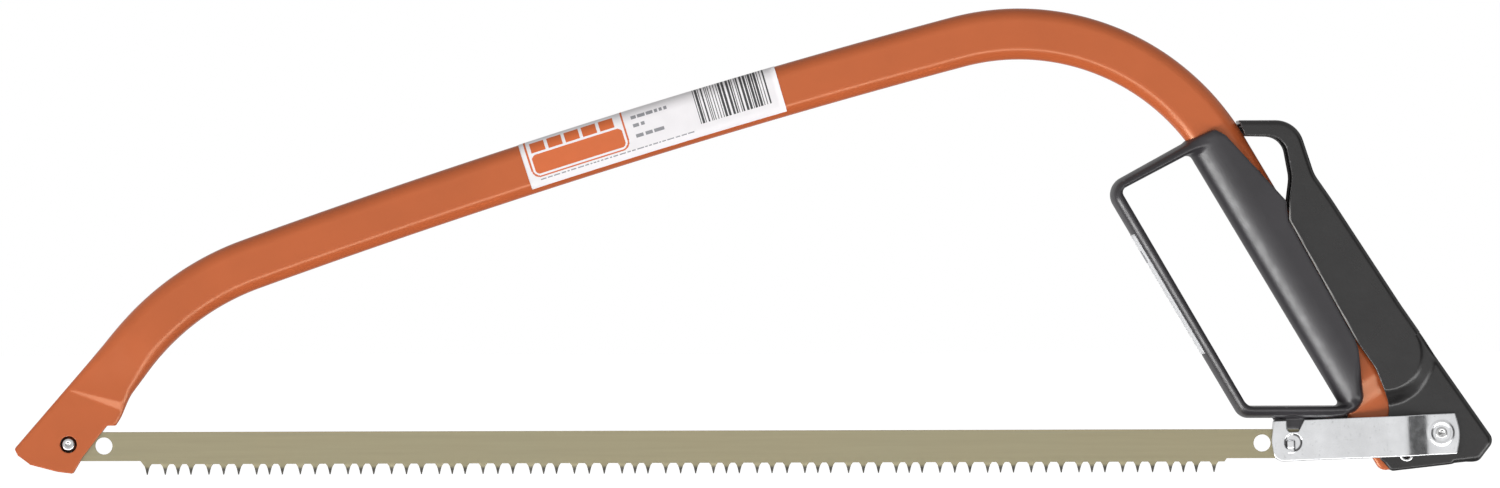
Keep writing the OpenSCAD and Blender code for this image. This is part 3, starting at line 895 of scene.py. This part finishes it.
def label_sheet(name, lengths, widths, spot, paint):
    """A thin sheet from a grid: spot(s, w, lift) gives places, paint(s, w) each cell's material number."""
    rows, columns = len(lengths), len(widths)
    s, w = np.meshgrid(lengths, widths, indexing="ij")
    layers = [np.stack(spot(s.ravel(), w.ravel(), lift), -1) for lift in (LABEL_LIFT, LABEL_LIFT + LABEL_T)]
    count = rows * columns
    middles = [(marks[:-1] + marks[1:]) / 2 for marks in (lengths, widths)]
    printed = paint(*np.meshgrid(*middles, indexing="ij"))
    faces, paints = [], []
    for i in range(rows - 1):
        for j in range(columns - 1):
            a = i * columns + j
            b, c, d = a + 1, a + columns + 1, a + columns
            faces.append((a + count, b + count, c + count, d + count))
            faces.append((d, c, b, a))
            paints += [int(printed[i, j]), 0]
    rim = [i * columns for i in range(rows)] + [(rows - 1) * columns + j for j in range(1, columns)]
    rim += [i * columns + columns - 1 for i in range(rows - 2, -1, -1)] + list(range(columns - 2, 0, -1))
    for a, b in zip(rim, rim[1:] + rim[:1]):
        faces.append((a, b, b + count, a + count))
        paints.append(0)
    x, y, z = np.concatenate(layers).T
    obj = new_object(name, place(x, y, z), faces)
    obj.data.polygons.foreach_set("material_index", paints)
    return obj


def round_the_tube(w, lift):
    """Sideways place and y on the near side of the tube at ring distance w from its top edge."""
    r = TUBE_HALF_T + lift
    flat = TUBE_HALF - TUBE_HALF_T
    quarter = TUBE_HALF_T * math.pi / 2
    turn = np.clip(w / TUBE_HALF_T, 0, math.pi / 2)
    turn2 = np.clip((w - quarter - 2 * flat) / TUBE_HALF_T, 0, math.pi / 2)
    level = np.clip(w - quarter, 0, 2 * flat)
    a = np.where(turn2 > 0, -flat - r * np.sin(turn2), flat + r * np.cos(turn) - level)
    y = -np.where(turn2 > 0, r * np.cos(turn2), r * np.sin(turn))
    return a, y


def breaks(low, high, edges, spacing):
    """Grid lines from low to high, with one at each edge."""
    lines = [*edges, *steps(low, high, spacing)]
    return np.array(sorted({round(float(line), 3) for line in lines if low <= round(float(line), 3) <= high}))


def round_box(left, top, right, bottom, r):
    return rounded([(left, top, r), (left, bottom, r), (right, bottom, r), (right, top, r)])


def print_row(start, end, top, bottom, ink, next_length, next_gap):
    """Printed marks (first, last, top, bottom, ink) side by side from start to end."""
    row = []
    at = start
    while at < end:
        length = next_length()
        row.append((at, at + length, top, bottom, ink))
        at += length + next_gap()
    return row


def label_marks(width):
    rng = random.Random(7)
    marks = []
    for i in range(BLOCKS):
        left = BLOCK_START + BLOCK_PITCH * i
        marks.append((left, left + BLOCK_WIDTH, 3.9, 8.7, ORANGE_INK))
    for top, reach in ROWS:
        dash, gap = lambda: rng.uniform(1.2, 4.6), lambda: rng.uniform(0.5, 1.0)
        marks += print_row(ROW_START, ROW_START + reach, top, top + 1.5, GREY_INK, dash, gap)
    bar, gap = lambda: rng.choice([0.35, 0.35, 0.7, 1.05]), lambda: rng.choice([0.35, 0.5, 0.9])
    marks += print_row(*BARS, 0.7, width - 5.4, BLACK_INK, bar, gap)
    dash, gap = lambda: rng.uniform(0.8, 3.2), lambda: rng.uniform(0.4, 0.8)
    marks += print_row(*SMALL_ROW, width - 3.4, width - 2.9, GREY_INK, dash, gap)
    return marks


def frame_label():
    """The label round the near side of the tube, with plain generic print."""
    whole = 2 * TUBE_HALF_T * math.pi / 2 + 2 * (TUBE_HALF - TUBE_HALF_T)
    width = whole - LABEL_SHORT
    marks = label_marks(width)
    frame_line = round_box(2.2, -6, PANEL_END, width - 4.1, 4)
    panel = round_box(3.8, 9.6, PANEL_END - 1.6, width - 5.6, 2.4)
    printed_ends = [end for printed in marks for end in printed[:2]]
    printed_sides = [side for printed in marks for side in printed[2:4]]
    lengths = breaks(0, LABEL_LENGTH, [*steps(0, PANEL_END + 1, 0.3), *printed_ends], 3)
    widths = breaks(0, width, printed_sides, 0.3)

    def spot(s, w, lift):
        a, y = round_the_tube(w, lift)
        x, z = beside_tube(LABEL_START + s, a)
        return x, y, z

    def paint(s, w):
        line_depth = -outline_field(frame_line, s, w)
        on_line = (line_depth > 0) & (line_depth < 0.7)
        numbers = np.where(on_line | (outline_field(panel, s, w) < 0), ORANGE_INK, 0)
        for first, last, low, high, ink in marks:
            numbers[(s >= first) & (s <= last) & (w >= low) & (w <= high)] = ink
        return numbers

    return label_sheet("frame_label_print", lengths, widths, spot, paint)


def guard_label():
    """The sticker on the domed front of the guard, with one grey bar."""
    top = np.array(GUARD_TOP)
    down = np.array(GUARD_BOTTOM) - top
    down = down / np.linalg.norm(down)
    away = np.array([down[1], -down[0]])

    def spot(s, w, lift):
        sink = GUARD_DOME * (w / GUARD_HALF) ** 2
        p = top + np.multiply.outer(STICKER_START + s, down) + np.multiply.outer(lift - sink, away)
        return p[:, 0], -w, p[:, 1]

    def paint(s, w):
        return np.where((s > 8) & (s < 14) & (np.abs(w) < 4), 1, 0)

    return label_sheet("guard_label_print", steps(0, STICKER_LENGTH, 2), steps(-7, 7, 0.5), spot, paint)


# ------------------------------------------------------------ materials


def colour(red, green, blue):
    """A colour in shader units from 0 to 255 screen values."""
    shares = [channel / 255 for channel in (red, green, blue)]
    return [((share + 0.055) / 1.055) ** 2.4 for share in shares] + [1]


def shade(c, factor):
    return [min(1, channel * factor) for channel in c[:3]] + [1]


class Shader:
    """Node building for one material."""

    def __init__(self, name):
        self.material = bpy.data.materials.new(name)
        self.material.use_nodes = True
        self.tree = self.material.node_tree
        self.surface = self.tree.nodes["Principled BSDF"]
        self.coords = self.tree.nodes.new("ShaderNodeTexCoord").outputs["Object"]

    def set(self, **values):
        for key, value in values.items():
            self.wire(value, self.surface.inputs[key.replace("_", " ")])

    def wire(self, value, socket):
        if isinstance(value, bpy.types.NodeSocket):
            self.tree.links.new(value, socket)
        else:
            socket.default_value = value

    def noise(self, scale, detail=3, stretch=(1, 1, 1), low=0.3, high=0.7):
        """Noise with this many features to a metre, spread over 0 to 1."""
        mapping = self.tree.nodes.new("ShaderNodeMapping")
        mapping.inputs["Scale"].default_value = stretch
        self.wire(self.coords, mapping.inputs["Vector"])
        noise = self.tree.nodes.new("ShaderNodeTexNoise")
        noise.inputs["Scale"].default_value = scale
        noise.inputs["Detail"].default_value = detail
        self.wire(mapping.outputs[0], noise.inputs["Vector"])
        return self.ramp(noise.outputs["Fac"], low, high, 0, 1)

    def ramp(self, value, low, high, start, end):
        node = self.tree.nodes.new("ShaderNodeMapRange")
        for socket, number in zip(node.inputs, (value, low, high, start, end)):
            self.wire(number, socket)
        return node.outputs[0]

    def blend(self, share, first, second):
        node = self.tree.nodes.new("ShaderNodeMix")
        node.data_type = "RGBA"
        self.wire(share, node.inputs[0])
        self.wire(first, node.inputs[6])
        self.wire(second, node.inputs[7])
        return node.outputs[2]

    def times(self, a, b):
        node = self.tree.nodes.new("ShaderNodeMath")
        node.operation = "MULTIPLY"
        self.wire(a, node.inputs[0])
        self.wire(b, node.inputs[1])
        return node.outputs[0]

    def bump(self, height, depth_mm, base=None):
        node = self.tree.nodes.new("ShaderNodeBump")
        node.inputs["Strength"].default_value = 1
        node.inputs["Distance"].default_value = depth_mm * MM
        self.wire(height, node.inputs["Height"])
        if base is not None:
            self.wire(base, node.inputs["Normal"])
        return node.outputs[0]

    def marked(self, name):
        node = self.tree.nodes.new("ShaderNodeAttribute")
        node.attribute_name = name
        return node.outputs["Fac"]

    def edges(self, low=0.53, high=0.6):
        """Near 1 on outer edges."""
        geometry = self.tree.nodes.new("ShaderNodeNewGeometry")
        return self.ramp(geometry.outputs["Pointiness"], low, high, 0, 1)

    def height(self, low_mm, high_mm):
        """0 to 1 between two heights above the nose pin."""
        parts = self.tree.nodes.new("ShaderNodeSeparateXYZ")
        self.wire(self.coords, parts.inputs[0])
        low, high = (NOSE[2] + z * MM for z in (low_mm, high_mm))
        return self.ramp(parts.outputs["Z"], low, high, 0, 1)


def orange_paint():
    m = Shader("orange_paint")
    base = colour(184, 92, 52)
    cloud = m.noise(45, 4)
    worn = m.times(m.edges(0.54, 0.62), m.noise(900, 2, low=0.45, high=0.6))
    tint = m.blend(m.times(cloud, 0.5), base, shade(base, 0.84))
    tint = m.blend(m.times(worn, 0.4), tint, shade(base, 1.5))
    m.set(Base_Color=tint, Roughness=m.ramp(m.noise(130), 0, 1, 0.18, 0.26), Specular_IOR_Level=0.75)
    m.set(Specular_Tint=colour(255, 214, 180))
    m.set(Normal=m.bump(m.noise(900, 2), 0.003, m.bump(m.noise(160, 2), 0.01)))
    return m.material


def lever_paint():
    m = Shader("lever_paint")
    base = colour(26, 25, 25)
    worn = m.times(m.edges(0.535, 0.6), m.noise(700, 3, low=0.4, high=0.65))
    tint = m.blend(m.noise(60, 4), base, shade(base, 1.35))
    tint = m.blend(m.times(worn, 0.4), tint, colour(150, 150, 152))
    # Painted highlight along the lever's front edge
    tint = m.blend(m.times(m.marked("painted_edge_highlight"), 0.9), tint, colour(205, 203, 200))
    m.set(Base_Color=tint, Roughness=m.ramp(m.noise(90), 0, 1, 0.24, 0.38))
    m.set(Coat_Weight=0.25, Coat_Roughness=0.1)
    m.set(Normal=m.bump(m.noise(1100, 2), 0.015, m.bump(m.noise(190, 2), 0.06)))
    return m.material


def grip_plastic():
    m = Shader("grip_plastic")
    base = colour(41, 39, 42)
    tint = m.blend(m.noise(35, 4), base, shade(base, 1.3))
    tint = m.blend(m.times(m.edges(0.53, 0.6), 0.25), tint, colour(140, 138, 142))
    m.set(Base_Color=tint, Roughness=m.ramp(m.noise(220), 0, 1, 0.31, 0.39), Specular_IOR_Level=0.55)
    m.set(Normal=m.bump(m.noise(2600, 2, low=0.25, high=0.75), 0.004))
    return m.material


def zinc_plate(name="zinc_plate", tone=(242, 243, 245)):
    m = Shader(name)
    base = colour(*tone)
    cloud = m.noise(110, 5, low=0.35, high=0.65)
    tint = m.blend(m.times(cloud, 0.4), base, shade(base, 0.74))
    tint = m.blend(m.times(m.noise(900, 3, low=0.62, high=0.72), 0.35), tint, shade(base, 0.55))
    # Painted shade where the pieces are marked: gaps, recesses and punched centres
    tint = m.blend(m.times(m.marked("painted_shade"), 0.9), tint, colour(38, 36, 35))
    m.set(Base_Color=tint, Metallic=0.95, Roughness=m.ramp(m.noise(400, 4), 0, 1, 0.14, 0.24))
    m.set(Normal=m.bump(m.noise(1500, 3, stretch=(1, 1, 0.25)), 0.004, m.bump(m.noise(180, 3), 0.015)))
    return m.material


def blade_steel():
    m = Shader("blade_steel")
    base = colour(160, 151, 122)
    streaks = m.noise(260, 5, stretch=(0.06, 1, 1.6), low=0.3, high=0.7)
    cloud = m.noise(26, 4)
    tint = m.blend(m.times(streaks, 0.5), base, shade(base, 0.78))
    tint = m.blend(m.times(cloud, 0.35), tint, colour(153, 148, 122))
    hardened = m.ramp(m.height(-10.9, -9.6), 0, 1, 1, 0)
    tint = m.blend(m.times(hardened, 0.85), tint, colour(58, 58, 62))
    m.set(Base_Color=tint, Metallic=0.55, Roughness=m.ramp(streaks, 0, 1, 0.34, 0.5))
    m.set(Normal=m.bump(m.noise(1400, 4, stretch=(0.04, 1, 1)), 0.012))
    return m.material


def print_material(name, tone, roughness=0.45):
    m = Shader(name)
    base = colour(*tone)
    tint = m.blend(m.times(m.noise(140, 4), 0.4), base, shade(base, 0.9))
    m.set(Base_Color=tint, Roughness=m.ramp(m.noise(500), 0, 1, roughness, roughness + 0.12))
    m.set(Normal=m.bump(m.noise(2200, 3), 0.002))
    return m.material


# ------------------------------------------------------------ floor, light and camera


FLOOR_DROP = 36
FLOOR_SIZE = 4


def floor():
    """A plain floor, low enough for the lever to swing open above it."""
    low = cad_box[0][2] - FLOOR_DROP * MM
    points = [(x * FLOOR_SIZE, y * FLOOR_SIZE, low) for x, y in ((-1, -1), (1, -1), (1, 1), (-1, 1))]
    obj = new_object("floor", points, [(0, 1, 2, 3)], smooth_shading=False)
    m = Shader("floor_white")
    m.set(Base_Color=colour(245, 245, 245), Roughness=0.9)
    m.set(Emission_Color=(1, 1, 1, 1), Emission_Strength=0.58)
    obj.data.materials.append(m.material)
    obj.visible_glossy = False
    obj.visible_diffuse = False
    obj.visible_shadow = False


LIGHT = 0.66
WINDOW_LIGHT = 3.2
CARD_DARKNESS = 0.93


def studio_light():
    """A white backdrop for the camera, and for the pieces an even light from all round.

    A long bright window low in front draws the highlights, and a dark card to the right the dark bands.
    """
    world = bpy.data.worlds.new("studio")
    bpy.context.scene.world = world
    world.use_nodes = True
    tree = world.node_tree
    tree.nodes.clear()

    def node(kind, **inputs):
        made = tree.nodes.new(kind)
        for key, value in inputs.items():
            socket = made.inputs[int(key[1:])]
            if isinstance(value, bpy.types.NodeSocket):
                tree.links.new(value, socket)
            else:
                socket.default_value = value
        return made

    def band(value, low, high, start, end):
        made = node("ShaderNodeMapRange", i0=value, i1=low, i2=high, i3=start, i4=end)
        made.interpolation_type = "SMOOTHSTEP"
        return made.outputs[0]

    def math_node(operation, a, b):
        made = node("ShaderNodeMath", i0=a, i1=b)
        made.operation = operation
        return made.outputs[0]

    def product(first, *others):
        for other in others:
            first = math_node("MULTIPLY", first, other)
        return first

    direction = node("ShaderNodeTexCoord").outputs["Generated"]
    parts = node("ShaderNodeSeparateXYZ", i0=direction)
    right, back, up = parts.outputs["X"], parts.outputs["Y"], parts.outputs["Z"]
    level = product(
        band(up, -0.75, -0.6, 0.25, 1),
        band(up, 0.3, 0.95, 1, 0.7),
        band(back, -1, -0.9, 1.25, 1),
    )
    window = product(
        band(up, -0.6, -0.54, 0, 1),
        band(up, -0.42, -0.36, 1, 0),
        band(back, -0.3, -0.1, 1, 0),
        band(right, -0.72, -0.5, 8.5, 2.2),
    )
    card = product(
        band(right, 0.42, 0.5, 0, 1),
        band(right, 0.85, 0.95, 1, 0),
        band(up, -0.3, -0.2, 0, 1),
        band(up, 0.3, 0.5, 1, 0),
    )
    shaded = math_node("SUBTRACT", 1.0, product(card, CARD_DARKNESS))
    light = math_node("ADD", product(level, shaded), product(window, WINDOW_LIGHT))
    lit = node("ShaderNodeBackground", i0=(1, 1, 1, 1), i1=product(light, LIGHT))
    seen = node("ShaderNodeBackground", i0=(1, 1, 1, 1), i1=1.0)
    camera_ray = node("ShaderNodeLightPath").outputs["Is Camera Ray"]
    mix = node("ShaderNodeMixShader", i0=camera_ray)
    tree.links.new(lit.outputs[0], mix.inputs[1])
    tree.links.new(seen.outputs[0], mix.inputs[2])
    output = tree.nodes.new("ShaderNodeOutputWorld")
    tree.links.new(mix.outputs[0], output.inputs["Surface"])


def camera():
    distance = 2.2
    view_width = 0.651
    data = bpy.data.cameras.new("camera")
    data.sensor_width = 36
    data.lens = 36 * distance / view_width
    obj = bpy.data.objects.new("camera", data)
    bpy.context.scene.collection.objects.link(obj)
    target = place(295.8, 0, 86.2)
    obj.location = Vector(target) + Vector((0, -distance, 0))
    obj.rotation_euler = (math.radians(90), math.radians(0.15), 0)
    bpy.context.scene.camera = obj
    bpy.context.scene.view_settings.view_transform = "Standard"


# ------------------------------------------------------------ assembly


def finish_piece(obj, body, slot, materials, *nodes):
    for m in materials:
        obj.data.materials.append(m)
    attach(obj, body)
    if nodes:
        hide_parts(*nodes)


def build():
    orange, black, plastic = orange_paint(), lever_paint(), grip_plastic()
    zinc, pin_zinc, steel = zinc_plate(), zinc_plate("rivet_zinc", (222, 222, 222)), blade_steel()
    paper = print_material("label_white", (230, 227, 229))
    inks = [
        print_material("label_orange", (204, 100, 48)),
        print_material("label_grey", (138, 138, 142)),
        print_material("label_black", (60, 60, 62)),
    ]
    silver = print_material("label_silver", (205, 206, 208), 0.6)

    finish_piece(frame_tube(), "frame", "frame_paint", [orange], "frame_tube")
    finish_piece(grip_guard(), "frame", "grip_plastic", [plastic], "grip_guard")
    finish_piece(tension_lever(), "lever", "lever_paint", [black], "tension_lever")
    finish_piece(strap("link_strap_front_pressing", -1), "link", "zinc", [zinc], "link_strap_front")
    finish_piece(strap("link_strap_rear_pressing", 1), "link", "zinc", [zinc], "link_strap_rear")
    finish_piece(blade(), "blade", "blade_steel", [steel], "blade")
    finish_piece(frame_label(), "frame", "label_paper", [paper, *inks], "frame_label")
    finish_piece(guard_label(), "frame", "label_paper", [silver, inks[1]], "guard_label")

    pin = nose_pin()
    lever_face = LEVER_LOW_HALF + RIVET_GAP
    pivot = rivet("pivot_rivet_turned", PIVOT, lever_face, RIVET_HEAD, rim=2.9, dimple=1.6, depth=1, shank=2)
    # Painted shade in the rivet's punched centre
    mark(pivot, "painted_shade", from_axis(pivot, PIVOT) < 1.5)
    strap_face = STRAP_PAD_IN + SHEET + RIVET_GAP
    link = rivet("link_rivet_turned", LINK, strap_face, RIVET_HEAD, rim=2.5, dimple=1, depth=0.8, shank=1.9)
    # Painted shade in the rivet's punched centre
    mark(link, "painted_shade", from_axis(link, LINK) < 0.6)
    finish_piece(pin, "frame", "zinc", [pin_zinc], "nose_pin")
    finish_piece(pivot, "lever", "zinc", [pin_zinc], "pivot_rivet")
    finish_piece(link, "link", "zinc", [pin_zinc], "link_rivet")
    for name in ("pivot_bushing", "link_spacer"):
        mesh = frame["nodes"][name].data
        mesh.materials.clear()
        mesh.materials.append(zinc)


build()
floor()
studio_light()
camera()
